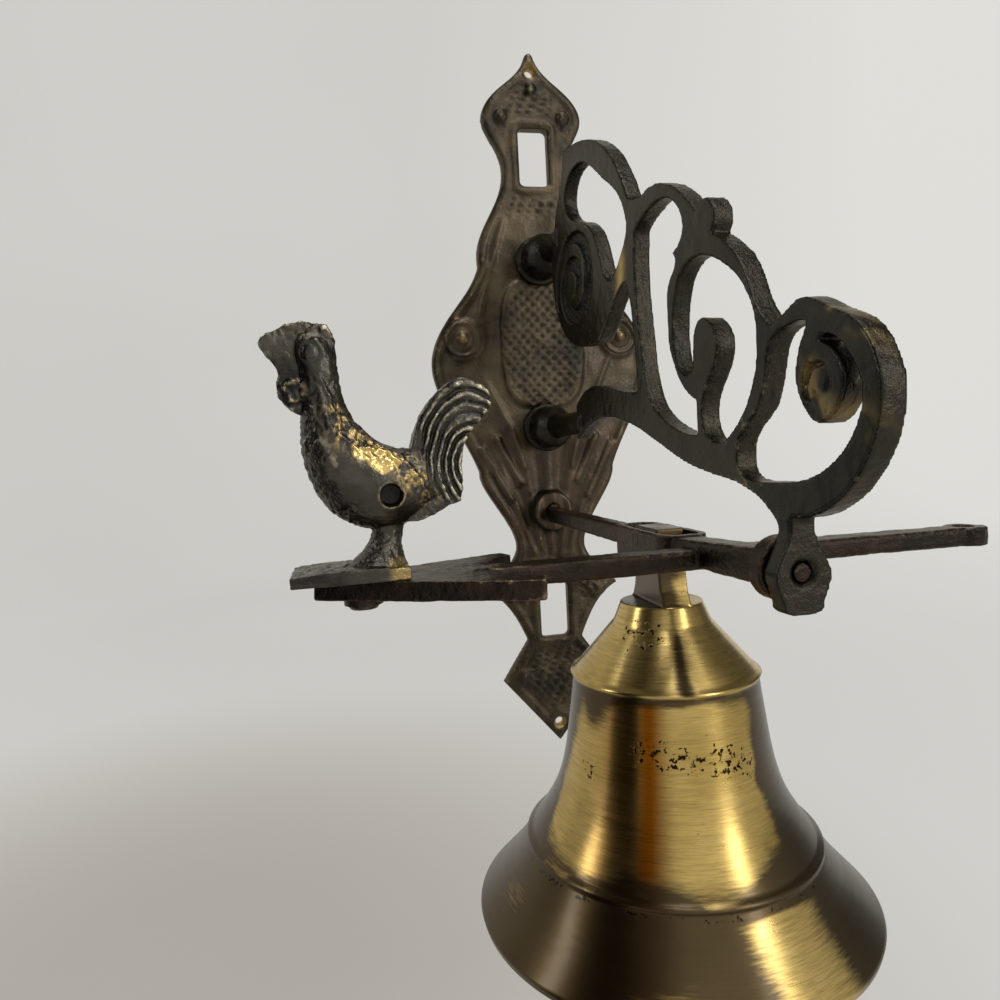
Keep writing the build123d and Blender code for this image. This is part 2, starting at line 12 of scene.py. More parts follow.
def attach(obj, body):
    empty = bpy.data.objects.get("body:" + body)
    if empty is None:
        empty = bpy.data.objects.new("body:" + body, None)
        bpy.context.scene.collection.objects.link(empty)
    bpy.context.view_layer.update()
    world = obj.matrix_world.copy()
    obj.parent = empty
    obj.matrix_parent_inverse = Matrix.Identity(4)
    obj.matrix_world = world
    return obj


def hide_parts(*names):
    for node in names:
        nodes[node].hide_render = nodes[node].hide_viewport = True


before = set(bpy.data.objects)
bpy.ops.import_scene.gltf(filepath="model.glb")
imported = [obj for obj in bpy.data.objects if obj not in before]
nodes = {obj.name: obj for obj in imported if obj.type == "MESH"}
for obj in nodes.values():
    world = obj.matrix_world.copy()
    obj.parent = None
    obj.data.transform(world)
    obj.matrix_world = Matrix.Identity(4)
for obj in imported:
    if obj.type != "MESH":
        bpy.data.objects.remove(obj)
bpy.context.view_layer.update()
scene = bpy.context.scene
scene.view_settings.view_transform = "Standard"
MM = 0.001
PER_METRE = 1000

# Camera: fitted to the photo's outlines; its place in metres, its angles in radians
CAMERA_AT = (-0.07379, -0.26685, 0.02301)
CAMERA_YAW = 0.2073
CAMERA_PITCH = -0.066
CAMERA_ROLL = -0.052
FOCAL_PX = 750.4
FRAME_PX = 1000
SENSOR_MM = 36


def photo_camera():
    """The camera that sees the object as the photo does."""
    zenith = Vector((0, 0, 1))
    level = Vector((math.sin(CAMERA_YAW), math.cos(CAMERA_YAW), 0))
    across = Vector((math.cos(CAMERA_YAW), -math.sin(CAMERA_YAW), 0))
    ahead = level * math.cos(CAMERA_PITCH) + zenith * math.sin(CAMERA_PITCH)
    above = -level * math.sin(CAMERA_PITCH) + zenith * math.cos(CAMERA_PITCH)
    right = across * math.cos(CAMERA_ROLL) + above * math.sin(CAMERA_ROLL)
    up = -across * math.sin(CAMERA_ROLL) + above * math.cos(CAMERA_ROLL)
    data = bpy.data.cameras.new("photo_view")
    data.sensor_width = SENSOR_MM
    data.lens = FOCAL_PX * SENSOR_MM / FRAME_PX
    data.clip_start = 0.01
    data.shift_y = -0.001
    made = bpy.data.objects.new("photo_view", data)
    axes = Matrix((right, up, -ahead)).transposed()
    made.matrix_world = Matrix.Translation(CAMERA_AT) @ axes.to_4x4()
    scene.collection.objects.link(made)
    return made


scene.camera = photo_camera()


# Node trees
class Tree:
    """Short calls for building a material's nodes."""

    def __init__(self, tree):
        self.tree = tree

    def node(self, kind, inputs=None, **settings):
        made = self.tree.nodes.new(kind)
        for key, value in settings.items():
            setattr(made, key, value)
        for key, value in (inputs or {}).items():
            self.put(made.inputs[key], value)
        return made

    def put(self, socket, value):
        """Links a socket to another node's output, or gives it a fixed value."""
        if isinstance(value, bpy.types.NodeSocket):
            self.tree.links.new(value, socket)
        else:
            socket.default_value = value

    def math(self, operation, a, b=0.0, clamp=False):
        return self.node("ShaderNodeMath", {0: a, 1: b}, operation=operation, use_clamp=clamp).outputs[0]

    def scale_and_shift(self, value, scale, shift):
        inputs = {0: value, 1: scale, 2: shift}
        return self.node("ShaderNodeMath", inputs, operation="MULTIPLY_ADD").outputs[0]

    def jitter(self, value, noise, amount):
        """Adds amount times a noise, centred on zero, to a value."""
        shift = self.math("MULTIPLY", self.math("SUBTRACT", noise, 0.5), amount)
        return self.math("ADD", value, shift)

    def noise(self, where, scale, detail, roughness):
        inputs = {"Vector": where, "Scale": scale, "Detail": detail, "Roughness": roughness}
        return self.node("ShaderNodeTexNoise", inputs).outputs["Fac"]

    def stretch(self, where, x, y, z):
        return self.node("ShaderNodeMapping", {"Vector": where, "Scale": (x, y, z)}).outputs[0]

    def ramp(self, value, *stops, smooth=False):
        """A colour ramp of (place, grey or colour) stops."""
        made = self.node("ShaderNodeValToRGB", {"Fac": value})
        ramp = made.color_ramp
        if smooth:
            ramp.interpolation = "EASE"
        ramp.elements.remove(ramp.elements[1])
        for index, (place, colour) in enumerate(stops):
            element = ramp.elements.new(place) if index else ramp.elements[0]
            if not index:
                element.position = place
            element.color = (*colour, 1) if isinstance(colour, tuple) else (colour, colour, colour, 1)
        return made.outputs[0]

    def mix(self, factor, a, b, blend="MIX"):
        made = self.node("ShaderNodeMix", data_type="RGBA", blend_type=blend)
        self.put(made.inputs[0], factor)
        for index, value in ((6, a), (7, b)):
            self.put(made.inputs[index], (*value, 1) if isinstance(value, tuple) else value)
        return made.outputs[2]

    def attribute(self, name):
        return self.node("ShaderNodeAttribute", attribute_name=name).outputs["Fac"]

    def bump(self, height, strength, distance, normal=None, invert=False):
        inputs = {"Height": height, "Strength": strength, "Distance": distance}
        if normal is not None:
            inputs["Normal"] = normal
        return self.node("ShaderNodeBump", inputs, invert=invert).outputs[0]


def material(name):
    """A new material, its tree, its shader and the object's own coordinates."""
    made = bpy.data.materials.new(name)
    made.use_nodes = True
    tree = Tree(made.node_tree)
    shader = made.node_tree.nodes["Principled BSDF"]
    place = tree.node("ShaderNodeTexCoord").outputs["Object"]
    return made, tree, shader, place


SOOT = (0.010, 0.008, 0.006)
BARE_GOLD = (0.62, 0.43, 0.15)
COOL_TINT = (0.6, 0.55, 0.48, 1)


def antique_bronze(name, dark, mid, bright, red=(0.068, 0.042, 0.026), shine=0.34, grit=1.0, coat=0.3):
    """Dark lacquered brass casting: grainy skin, brown mottling, and brass worn bare on the edges.

    The grime runs from dark to mid, with red where the red layer asks for it, and bright is the worn metal.
    """
    made, tree, shader, place = material(name)
    mottle = tree.noise(place, 75, 5, 0.62)
    fine = tree.noise(place, 1000, 2, 0.6)
    grains = tree.noise(place, 620, 4, 0.7)
    patches = tree.noise(place, 24, 3, 0.5)
    grime = tree.ramp(mottle, (0.36, dark), (0.62, mid))
    reddish = tree.math("MULTIPLY", tree.attribute("red"), tree.ramp(patches, (0.3, 0.35), (0.7, 1.0)))
    grime = tree.mix(reddish, grime, red)
    # the wear layer also holds painted highlights, which show here as bright bare metal
    worn = tree.jitter(tree.attribute("wear"), patches, 0.7)
    worn = tree.jitter(worn, grains, 1.1)
    worn = tree.ramp(worn, (0.34, 0.0), (0.8, 1.0))
    colour = tree.mix(tree.math("MULTIPLY", worn, 0.85), grime, bright)
    colour = tree.mix(tree.ramp(tree.attribute("dirt"), (0.15, 0.0), (0.8, 0.9)), colour, SOOT)
    colour = tree.mix(tree.attribute("gold"), colour, BARE_GOLD)
    tree.put(shader.inputs["Base Color"], colour)
    shader.inputs["Metallic"].default_value = 0.8
    shader.inputs["Specular Tint"].default_value = COOL_TINT
    shader.inputs["Coat Weight"].default_value = coat
    shader.inputs["Coat Roughness"].default_value = 0.25
    rough = tree.math("ADD", tree.math("MULTIPLY", mottle, 0.32), shine - 0.14)
    rough = tree.math("ADD", rough, tree.math("MULTIPLY", tree.attribute("dirt"), 0.3))
    rough = tree.math("SUBTRACT", rough, tree.math("MULTIPLY", worn, 0.05), clamp=True)
    tree.put(shader.inputs["Roughness"], rough)
    unsmoothed = tree.math("SUBTRACT", 1.0, tree.math("MULTIPLY", tree.attribute("smooth"), 0.85))
    grain = tree.bump(fine, 0.25 * grit, 0.0002)
    skin = tree.bump(grains, tree.math("MULTIPLY", unsmoothed, 0.75 * grit), 0.0005, grain)
    tree.put(shader.inputs["Normal"], skin)
    tree.put(shader.inputs["Coat Normal"], skin)
    return made


bronze = antique_bronze("dark_bronze", (0.020, 0.015, 0.009), (0.092, 0.068, 0.036), (0.40, 0.32, 0.18))
bracket_bronze = antique_bronze("bracket_bronze", (0.010, 0.011, 0.008), (0.029, 0.027, 0.019),
                                (0.36, 0.30, 0.19), red=(0.065, 0.045, 0.028), shine=0.26, coat=0.2)
lever_bronze = antique_bronze("lever_bronze", (0.008, 0.005, 0.003), (0.034, 0.019, 0.010),
                              (0.40, 0.29, 0.16), red=(0.075, 0.022, 0.010), shine=0.28, coat=0.25)
rooster_bronze = antique_bronze("rooster_bronze", (0.009, 0.007, 0.005), (0.085, 0.074, 0.054),
                                (0.58, 0.52, 0.38), shine=0.18, grit=0.9, coat=0.5)


# Cast pieces: the solid's skin on a fine grid, with the casting's relief pressed into it
def smoothstep(low, high, value):
    """0 at low, 1 at high and a smooth rise between; low may lie above high."""
    t = np.clip((value - low) / (high - low), 0, 1)
    return t * t * (3 - 2 * t)


def hill(value, centre, width):
    return np.exp(-((value - centre) / width) ** 2)


def points_of(mesh):
    """A mesh's points in millimetres."""
    points = np.empty(len(mesh.vertices) * 3, np.float32)
    mesh.vertices.foreach_get("co", points)
    return points.reshape(-1, 3).astype(float) * PER_METRE


def normals_of(mesh):
    normals = np.empty(len(mesh.vertices) * 3, np.float32)
    mesh.vertex_normals.foreach_get("vector", normals)
    return normals.reshape(-1, 3).astype(float)


def edges_of(mesh):
    edges = np.empty(len(mesh.edges) * 2, np.int32)
    mesh.edges.foreach_get("vertices", edges)
    return edges.reshape(-1, 2)


def neighbour_mean(values, edges):
    """The mean of each point's neighbours, for values of shape (points, n)."""
    count = np.bincount(edges.ravel(), minlength=len(values)).astype(float)
    count[count == 0] = 1
    total = np.empty_like(values)
    for axis in range(values.shape[1]):
        total[:, axis] = (np.bincount(edges[:, 0], values[edges[:, 1], axis], len(values))
                          + np.bincount(edges[:, 1], values[edges[:, 0], axis], len(values)))
    return total / count[:, None]


def put_points(mesh, points):
    mesh.vertices.foreach_set("co", (points / PER_METRE).astype(np.float32).ravel())
    mesh.update()


def put_attribute(mesh, name, values):
    layer = mesh.attributes.get(name) or mesh.attributes.new(name, "FLOAT", "POINT")
    layer.data.foreach_set("value", np.clip(values, 0, 1).astype(np.float32))


def welded(mesh):
    """The mesh with the points that lie on each other joined."""
    made = bmesh.new()
    made.from_mesh(mesh)
    bmesh.ops.remove_doubles(made, verts=made.verts, dist=1e-6)
    return made


def grid_skin(name, source, voxel, passes=3):
    """A new object: the mesh's skin remade on a grid of voxel mm, with its grid steps smoothed away."""
    start = bpy.data.meshes.new(name)
    source.to_mesh(start)
    source.free()
    made = bpy.data.objects.new(name, start)
    scene.collection.objects.link(made)
    grid = made.modifiers.new("grid", "REMESH")
    grid.mode = "VOXEL"
    grid.voxel_size = voxel * MM
    grid.use_smooth_shade = True
    bpy.context.view_layer.update()
    evaluated = made.evaluated_get(bpy.context.evaluated_depsgraph_get())
    made.data = bpy.data.meshes.new_from_object(evaluated)
    made.modifiers.clear()
    points, edges = points_of(made.data), edges_of(made.data)
    for _ in range(passes):
        for weight in (0.5, -0.52):
            points = points + weight * (neighbour_mean(points, edges) - points)
    put_points(made.data, points)
    return made


def weather(mesh, reach=3, wear_gain=9.0, dirt_gain=9.0):
    """Wear on ridges and dirt in hollows, from how far each point stands off its neighbours."""
    points, edges = points_of(mesh), edges_of(mesh)
    level = points
    for _ in range(reach):
        level = neighbour_mean(level, edges)
    stand = ((points - level) * normals_of(mesh)).sum(1)[:, None]
    for _ in range(2):
        stand = neighbour_mean(stand, edges)
    stand = stand[:, 0]
    return np.clip(stand * wear_gain, 0, 1), np.clip(-stand * dirt_gain, 0, 1)


def lumps(points, size, seed=0.0):
    """Smooth random lumps about size mm across, between about -1 and 1: noise on a turned lattice."""
    skew = np.array(((0.80, 0.48, -0.36), (-0.60, 0.64, -0.48), (0.0, 0.60, 0.80)))
    spots = points @ skew / size + 500 + 37.3 * seed
    cell = np.floor(spots).astype(np.int64)
    share = spots - cell
    share = share * share * (3 - 2 * share)
    total = np.zeros(len(points))
    for corner in range(8):
        step = np.array([corner >> axis & 1 for axis in range(3)])
        key = (cell + step) @ np.array((73856093, 19349663, 83492791))
        key = (key ^ key >> 13) * 1274126177 & 0xFFFFFFFF
        value = ((key ^ key >> 16) & 0xFFFF) / 32767.5 - 1
        total += value * np.prod(np.where(step, share, 1 - share), axis=1)
    return 1.6 * total


def pits(u, v, step_u, step_v, radius):
    """A staggered field of round pits: 1 at a pit's middle, 0 away from it."""
    best = np.full(len(u), 1e9)
    for shift in (0.0, 0.5):
        du = (u / step_u + shift) % 1.0 - 0.5
        dv = (v / step_v + shift) % 1.0 - 0.5
        best = np.minimum(best, (du * step_u) ** 2 + (dv * step_v) ** 2)
    return np.exp(-best / radius ** 2)


def to_line(points_2d, a, b):
    """Distance of points to the straight line from a to b."""
    run = b - a
    t = np.clip(((points_2d - a) @ run) / max(run @ run, 1e-9), 0, 1)
    return np.hypot(*(points_2d - a - t[:, None] * run).T)


def along(points_2d, path):
    """Distance of points to a run of straight lines, all in mm."""
    path = np.array(path, float)
    return np.min([to_line(points_2d, a, b) for a, b in zip(path[:-1], path[1:])], axis=0)


def outline_distance(source, points_2d):
    """Distance in XZ to the outline of a flat-backed casting: the sharp edges of its back face, at Y = 0."""
    best = np.full(len(points_2d), 1e9)
    for edge in source.edges:
        if len(edge.link_faces) != 2:
            continue
        ends = [v.co * PER_METRE for v in edge.verts]
        if max(abs(ends[0].y), abs(ends[1].y)) > 0.01:
            continue
        facing = sorted(abs(f.normal.y) for f in edge.link_faces)
        if facing[0] > 0.5 or facing[1] < 0.9:
            continue
        a, b = np.array((ends[0].x, ends[0].z)), np.array((ends[1].x, ends[1].z))
        near_origin = np.abs(a).sum() + np.abs(b).sum() < 20
        if not near_origin:
            best = np.minimum(best, to_line(points_2d, a, b))
    return best


def paint_piece(piece, paint):
    """Gives a piece one material and smooth shading."""
    piece.data.materials.clear()
    piece.data.materials.append(paint)
    for face in piece.data.polygons:
        face.use_smooth = True


def finish_piece(made, body, node, slot, paint, painted, **weathering):
    """Gives a cast piece its weathering attributes, material and body, and hides the solid that it stands
    for.
    """
    wear, dirt = weather(made.data, **weathering)
    layers = {"wear": wear, "dirt": dirt, "gold": 0 * wear, "red": 0 * wear, "smooth": 0 * wear}
    painted(layers)
    for name, values in layers.items():
        put_attribute(made.data, name, values)
    paint_piece(made, paint)
    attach(made, body)
    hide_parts(node)


# Wall plate: heights in mm on its middle line; x is measured from that line
SLOT_HEIGHTS = (125.2, -36.8)
HOLE_HEIGHTS = (154.4, -79.0)
EAR_EYE = (29, 62)
LEAF_HEIGHT = 60


def dress_plate():
    source = welded(nodes["wall_plate"].data)
    outline = source.copy()
    made = grid_skin("plate_casting", source, 0.62)
    points, normals = points_of(made.data), normals_of(made.data)
    x, z = points[:, 0], points[:, 2]
    edge_far = outline_distance(outline, np.column_stack((x, z)))
    outline.free()
    front = smoothstep(0.55, 0.9, -normals[:, 1]) * smoothstep(2.2, 3.4, -points[:, 1])
    # rim: a raised line and a groove inside it
    rise = 0.42 * hill(edge_far, 2.1, 1.0) - 0.32 * hill(edge_far, 4.0, 0.9)
    rise = rise * (0.75 + 0.4 * lumps(points, 6.0, 5.0))
    # pitted grounds: the leaf-shaped panel, the head over it and the foot
    head_or_foot = np.maximum(smoothstep(102, 108, z), smoothstep(-16, -19, z))
    ground = smoothstep(4.4, 5.4, edge_far) * head_or_foot
    leaf = np.hypot(np.abs(x) / 15.5, (z - LEAF_HEIGHT) / 24.5)
    panel = smoothstep(1.02, 0.9, leaf)
    warp = 0.5 * lumps(points, 9.0)
    hatch = pits(x + warp, z - 0.6 * warp, 3.7, 3.9, 0.85)
    rough_pits = pits(x + 2.2 * warp + 0.4 * z, z + 1.5 * warp, 3.6, 4.1, 0.8)
    rise = rise * (1 - panel) - 0.62 * hatch * panel - 0.6 * rough_pits * ground
    rise += 0.22 * lumps(points, 2.4) * np.maximum(panel, ground)
    rise += 0.14 * lumps(points, 5.0, 2.0)
    # C ridge and eye of each ear, and the raised lines that lead to them
    ear = np.column_stack((np.abs(x), z))
    from_eye = ear - EAR_EYE
    eye_far = np.hypot(from_eye[:, 0], from_eye[:, 1])
    swing = np.degrees(np.arctan2(from_eye[:, 1], from_eye[:, 0]))
    ridge = hill(eye_far, 6.6, 1.0) * smoothstep(40, 75, np.abs(swing))
    lead = along(ear, ((22.5, 71), (19.5, 82), (15, 95), (12.5, 104)))
    seam = along(ear, ((25, 55), (20, 44), (13, 30), (9, 16)))
    lines = 0.8 * ridge - 0.5 * hill(eye_far, 4.6, 0.8) + 0.55 * hill(lead, 0, 1.1) + 0.5 * hill(seam, 0, 1.0)
    rise += lines * (1 - panel)
    # flutes of the stem, which fan out upwards
    stem = smoothstep(-17, -11, z) * smoothstep(34, 22, z) * smoothstep(0.2, 0.5, edge_far)
    fan = np.abs(x) / (0.36 * (z + 17) + 6.5)
    rise += 0.42 * np.cos(fan * 4.2 * np.pi) * stem * smoothstep(1.2, 0.9, fan)
    # a low raised line round each slot
    for height in SLOT_HEIGHTS:
        frame_far = np.maximum(np.abs(x) - 5.3, np.abs(z - height) - 9.9)
        rise += 0.22 * hill(frame_far, 1.4, 0.9)
    put_points(made.data, points + normals * (rise * front)[:, None])

    def painted(layers):
        layers["red"] = np.clip(0.8 * stem + 0.35 * ridge, 0, 1) * front
        hole_far = np.min([np.hypot(x, z - height) for height in HOLE_HEIGHTS], axis=0)
        layers["gold"] = smoothstep(2.6, 1.9, hole_far) * 0.75 + 0.22 * hill(eye_far, 0, 2.0) * front
        layers["smooth"] = front * (1 - panel) * (1 - head_or_foot) * 0.7
        in_pits = 0.5 * hatch * panel + 0.45 * rough_pits * ground
        layers["dirt"] = np.clip(layers["dirt"] + in_pits * front, 0, 1)
        boss = smoothstep(11, 8, np.hypot(x, z))
        layers["wear"] = layers["wear"] * (0.8 - 0.5 * boss)

    finish_piece(made, "wall_bracket", "wall_plate", "dark_bronze", bronze, painted,
                 wear_gain=2.3, dirt_gain=4.0)


# Scroll bracket: paths as (distance from the wall, height)
RUB_ON_SECOND_LOOP = ((84, 78), (87, 68), (85, 58), (78, 50))
RUBS_ON_VOLUTE = (((162, 33), (164, 28), (169, 25), (175, 24.5)), ((167, 42), (175, 39), (181, 35)))


def dress_bracket():
    made = grid_skin("bracket_casting", welded(nodes["scroll_bracket"].data), 0.5)
    points, normals = points_of(made.data), normals_of(made.data)
    out, x, z = -points[:, 1], points[:, 0], points[:, 2]
    side = smoothstep(0.75, 0.95, np.abs(normals[:, 0]))
    # the sunken web of the inner scroll is pitted
    web = side * smoothstep(1.45, 1.15, np.abs(x))
    hatch = pits(out + 0.35 * z, z - 0.2 * out, 2.7, 2.9, 0.6)
    rise = -0.4 * hatch * web + 0.03 * lumps(points, 1.6) + 0.06 * lumps(points, 5.0, 1.0)
    edge_face = smoothstep(0.6, 0.2, np.abs(normals[:, 0]))
    rise += 0.05 * lumps(points, 1.1, 4.0) * edge_face
    off_plate = smoothstep(7, 10, out)
    put_points(made.data, points + normals * (rise * off_plate)[:, None])

    def painted(layers):
        layers["smooth"] = side * (1 - web)
        layers["red"] = 0.35 * edge_face
        layers["dirt"] = np.clip(layers["dirt"] + 0.5 * hatch * web, 0, 1)
        profile = np.column_stack((out, z))
        rub_and_painted_highlight = along(profile, RUB_ON_SECOND_LOOP)
        gold = 0.85 * hill(rub_and_painted_highlight, 0, 2.4) * smoothstep(0.3, -0.2, normals[:, 0] - normals[:, 2])
        curl = np.minimum(*(along(profile, path) for path in RUBS_ON_VOLUTE))
        gold += 0.28 * hill(curl, 0, 2.2) * smoothstep(-0.3, 0.4, lumps(points, 3.0, 9.0))
        layers["gold"] = np.clip(gold, 0, 1)

    finish_piece(made, "wall_bracket", "scroll_bracket", "dark_bronze", bracket_bronze, painted,
                 wear_gain=2.2, dirt_gain=5)


def dress_rocker():
    made = grid_skin("rocker_casting", welded(nodes["rocker"].data), 0.37)
    points, normals = points_of(made.data), normals_of(made.data)
    out, upward = -points[:, 1], normals[:, 2]
    rise = 0.035 * lumps(points, 1.3) + 0.08 * lumps(points, 4.0, 1.0) + 0.02 * lumps(points, 0.7, 3.0)
    between_bearings = smoothstep(9.5, 12, out) * smoothstep(152.4, 150, out)
    put_points(made.data, points + normals * (rise * between_bearings)[:, None])

    def painted(layers):
        layers["red"] = 0.8 * smoothstep(-0.3, -0.8, upward)
        # faces that point up are made lighter, more so the more squarely they face up
        layers["wear"] = layers["wear"] + 0.22 * smoothstep(0.5, 0.9, upward)

    finish_piece(made, "rocker", "rocker", "dark_bronze", lever_bronze, painted, wear_gain=3.2, dirt_gain=5)


# Rooster: paths and places as (x, height) from ROOSTER_AT, its own place over the lever
ROOSTER_AT = (-71.0, 0.05)
WING_UPPER = ((-3.4, 31.5), (-0.6, 28.6), (2.8, 26.0), (8.1, 22.6), (11.5, 18.4), (13.3, 14.4))
WING_LOWER = ((-2.6, 27.0), (0.2, 24.6), (4.8, 24.0), (7.8, 21.6), (10.4, 17.4))
WING_PATCH = ((0.6, 23.6), (4.6, 22.9), (6.9, 21.6), (5.0, 20.6), (3.2, 22.0))
COMB_RIM = ((-14.5, 43.4), (-10.0, 44.6), (-5.6, 44.2), (-3.6, 41.4), (-3.4, 37.5))
BREAST = ((-8.3, 27), (-8.0, 20.5), (-5.5, 15.8), (-1.5, 12), (2.4, 8.5))
BELLY = ((-4.5, 27), (-3.4, 22), (0.5, 18), (3.4, 13))
# painted highlight: the line of a bright streak on the breast, as (x, height) points
BREAST_PAINTED_HIGHLIGHT = ((-5.7, 26.6), (-4.4, 23.6), (-3.6, 21.6))
EYE = (-6.9, 42.2)
WATTLE = (-10.0, 35.4)
BLIND_HOLE = (6.1, 15.6)


def dress_rooster():
    made = grid_skin("rooster_casting", welded(nodes["rooster"].data), 0.23)
    points, normals = points_of(made.data), normals_of(made.data)
    x = points[:, 0] - ROOSTER_AT[0]
    z = points[:, 2] - ROOSTER_AT[1]
    flat = np.column_stack((x, z))
    side = smoothstep(0.25, 0.7, np.abs(normals[:, 1]))
    near = smoothstep(0.1, 0.4, -normals[:, 1])
    # sickle feathers: grooves that follow the tail's curl
    tail = smoothstep(11.5, 13.5, x + 0.12 * (z - 24)) * smoothstep(12.8, 15, z)
    curl = np.hypot((x - 21.5) / 11.0, (z - 20.0) / 17.0) + 0.012 * lumps(points, 2.2)
    feather = np.sqrt(np.abs(np.sin(np.pi * (curl / 0.125 + 0.12))))
    barbs = np.sin(np.pi * (curl / 0.05 + 0.3))
    rise = tail * side * (0.85 * (feather - 0.75) + 0.07 * barbs)
    # wing: two raised lines over the flank, with rough metal between them
    upper, lower = along(flat, WING_UPPER), along(flat, WING_LOWER)
    body = (1 - tail) * side
    between = hill(np.minimum(upper, lower), 0, 1.6)
    rise += body * (0.42 * hill(upper, 0, 0.45) + 0.36 * hill(lower, 0, 0.42))
    rise += body * between * 0.16 * lumps(points, 0.55, 5.0)
    # comb and its rim, eye, wattle and neck hackles
    eye_far = np.hypot(x - EYE[0], z - EYE[1])
    wattle_far = np.hypot(x - WATTLE[0], z - WATTLE[1])
    comb = smoothstep(44.2, 45.0, z + 0.15 * (x + 8))
    head = smoothstep(32, 35, z)
    eye = 0.1 * hill(eye_far, 0.6, 0.6) - 0.18 * hill(eye_far, 1.6, 0.35)
    rise += side * head * (0.14 * hill(along(flat, COMB_RIM), 0, 0.6) + eye)
    rise += side * head * 0.12 * lumps(points, 1.4, 6.0) * smoothstep(1.5, 3.0, eye_far)
    rise += side * (0.22 * hill(wattle_far, 1.8, 0.5) + 0.4 * smoothstep(2.6, 1.9, wattle_far))
    rise += comb * 0.22 * lumps(points, 0.8, 2.0)
    hackle = smoothstep(26, 29, z) * smoothstep(38.5, 36, z) * (1 - tail)
    rise += side * hackle * 0.12 * np.sin(3.4 * (x + 0.35 * z) + 2.6 * lumps(points, 1.8))
    rise += hackle * 0.09 * lumps(points, 0.8, 7.0)
    # rough foundry skin low on the breast, on the leg and along the edges
    leg = smoothstep(9.5, 7.5, z) * smoothstep(2.4, 4.0, z)
    rough = np.clip(hill(along(flat, BREAST), 0, 2.3) + leg + 0.7 * (1 - side), 0, 1)
    rise += rough * (0.13 * lumps(points, 1.0, 1.0) + 0.09 * lumps(points, 0.5, 3.0))
    rise += 0.07 * tail * side * lumps(points, 0.6, 2.0)
    rise += 0.05 * lumps(points, 2.5)
    # ragged rim of the blind hole
    hole_far = np.hypot(x - BLIND_HOLE[0], z - BLIND_HOLE[1])
    rise += near * 0.12 * hill(hole_far + 0.3 * lumps(points, 1.1, 4.0), 2.6, 0.35)
    over_foot = smoothstep(0.3, 0.9, z)
    put_points(made.data, points + normals * (rise * over_foot)[:, None])

    def painted(layers):
        patch = smoothstep(1.35, 0.6, along(flat, WING_PATCH))
        heel = smoothstep(4.2, 6.2, x) * smoothstep(4.6, 2.6, z)
        gold = patch * near * body
        gold += 0.75 * near * body * between * smoothstep(-0.1, 0.5, lumps(points, 0.7, 5.0))
        gold += 0.35 * near * hill(hole_far, 2.3, 0.25) * smoothstep(-0.3, 0.4, lumps(points, 0.8, 4.0))
        gold += 0.2 * hill(wattle_far, 1.95, 0.3) * near * smoothstep(-0.4, 0.3, lumps(points, 0.9, 2.0))
        gold += 0.5 * heel * smoothstep(-0.2, 0.4, normals[:, 2] - normals[:, 1])
        layers["gold"] = np.clip(gold, 0, 1)
        face = hill(np.hypot(x + 7.2, (z - 41.0) / 1.3), 0, 2.6) * side
        layers["smooth"] = np.clip(hill(along(flat, BELLY), 0, 2.4) * body + patch + face, 0, 1)
        grooves = tail * side * smoothstep(0.45, 0.15, feather)
        in_hole = near * smoothstep(2.1, 1.7, hole_far)
        layers["dirt"] = np.clip(layers["dirt"] + grooves + 0.9 * in_hole, 0, 1) * (1 - 0.6 * head)
        layers["red"] = 0.3 * comb
        # painted highlight: a bright streak down the breast, laid into the wear layer as bare metal
        rub_and_painted_highlight = hill(along(flat, BREAST_PAINTED_HIGHLIGHT), 0, 1.0) * near
        shown = 0.9 * layers["wear"] + 0.15 * tail * smoothstep(0.75, 0.95, feather) + 0.45 * rub_and_painted_highlight + 0.06
        foot_plate = smoothstep(3.0, 2.2, z)
        layers["wear"] = np.clip(shown - 0.3 * foot_plate, 0, 1)

    finish_piece(made, "rocker", "rooster", "dark_bronze", rooster_bronze, painted,
                 reach=4, wear_gain=5, dirt_gain=6)


# Bell: turned and brushed brass under a worn brown lacquer. BELL_OUT is its axis's distance from the wall,
# and PHOTO_SIDE is the heading of the side that the photo shows
BELL_OUT = 99.0
BELL_SEGMENTS = 300
BELL_GOLDS = ((0.48, 0.335, 0.10), (0.69, 0.505, 0.185))
COLLAR_TOP = -15.6
PHOTO_SIDE = math.radians(-113.73)


